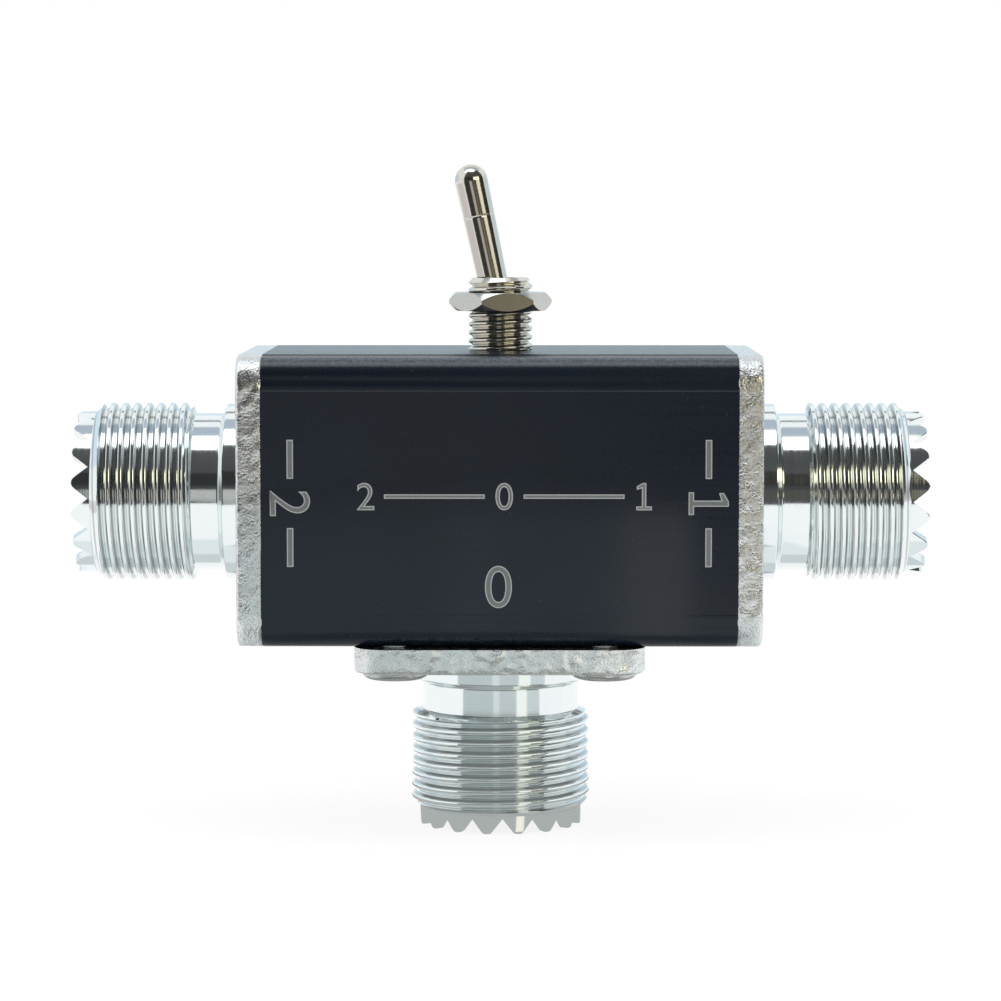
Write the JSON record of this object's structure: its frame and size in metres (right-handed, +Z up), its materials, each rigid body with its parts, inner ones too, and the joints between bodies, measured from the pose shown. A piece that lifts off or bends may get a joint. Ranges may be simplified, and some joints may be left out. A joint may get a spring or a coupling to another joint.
{
  "type": "coaxial antenna switch",
  "caption": "Two-way coaxial antenna switch: square metal housing, threaded UHF sockets at both ends and below, bat-handle toggle on top.",
  "frame": {"origin": "on the axis of the bottom socket, at the tips of its rim teeth, which the part stands on", "axes": "+X along the housing from the left socket to the right one, +Y from the front to the back, +Z up through the toggle"},
  "size_m": [0.0752, 0.0254, 0.0589],
  "materials": {
    "anodised_housing": "black anodised",
    "nickel_shell": "bright nickel plate on die-cast zinc",
    "ptfe": "white PTFE",
    "nickel_ring": "nickel plated spring steel",
    "contact_metal": "gold flashed brass",
    "screw_steel": "zinc plated steel",
    "nickel_bushing": "nickel plated brass",
    "nickel_lever": "nickel plated brass",
    "steel_pin": "ground steel",
    "plunger_plastic": "acetal",
    "frame_steel": "tinned steel",
    "case_plastic": "moulded phenolic",
    "silver_contact": "silver plated copper",
    "wire_copper": "tinned copper"
  },
  "bodies": {
    "switch_housing": {"housing": "anodised_housing", "left_socket_shell": "nickel_shell", "left_socket_insulator": "ptfe", "left_socket_ring": "nickel_ring", "left_centre_contact": "contact_metal", "left_screws": "screw_steel", "right_socket_shell": "nickel_shell", "right_socket_insulator": "ptfe", "right_socket_ring": "nickel_ring", "right_centre_contact": "contact_metal", "right_screws": "screw_steel", "bottom_socket_shell": "nickel_shell", "bottom_socket_insulator": "ptfe", "bottom_socket_ring": "nickel_ring", "bottom_centre_contact": "contact_metal", "bottom_screws": "screw_steel", "toggle_bushing": "nickel_bushing", "lever_pivot_pin": "steel_pin", "bushing_nut": "nickel_bushing", "switch_frame": "frame_steel", "switch_case": "case_plastic", "common_terminal": "silver_contact", "left_terminal": "silver_contact", "right_terminal": "silver_contact", "common_wire": "wire_copper", "left_wire": "wire_copper", "right_wire": "wire_copper"},
    "lever": {"toggle_lever": "nickel_lever", "lever_plunger": "plunger_plastic", "lever_spring": "steel_pin"},
    "rocker": {"rocker_contact": "silver_contact"}
  },
  "joints": [
    {"name": "lever_tilt", "type": "hinge", "parent": "switch_housing", "child": "lever", "pos_m": [0, 0, 0.04545], "axis": [0, 1, 0], "range_deg": [0, 24.4]},
    {"name": "rocker_tilt", "type": "hinge", "parent": "switch_housing", "child": "rocker", "pos_m": [0, 0, 0.03651], "axis": [0, 1, 0], "range_deg": [-16, 0]}
  ],
  "couplings": [
    {"joint": "rocker_tilt", "follows": "lever_tilt", "ratio": -0.6557}
  ]
}
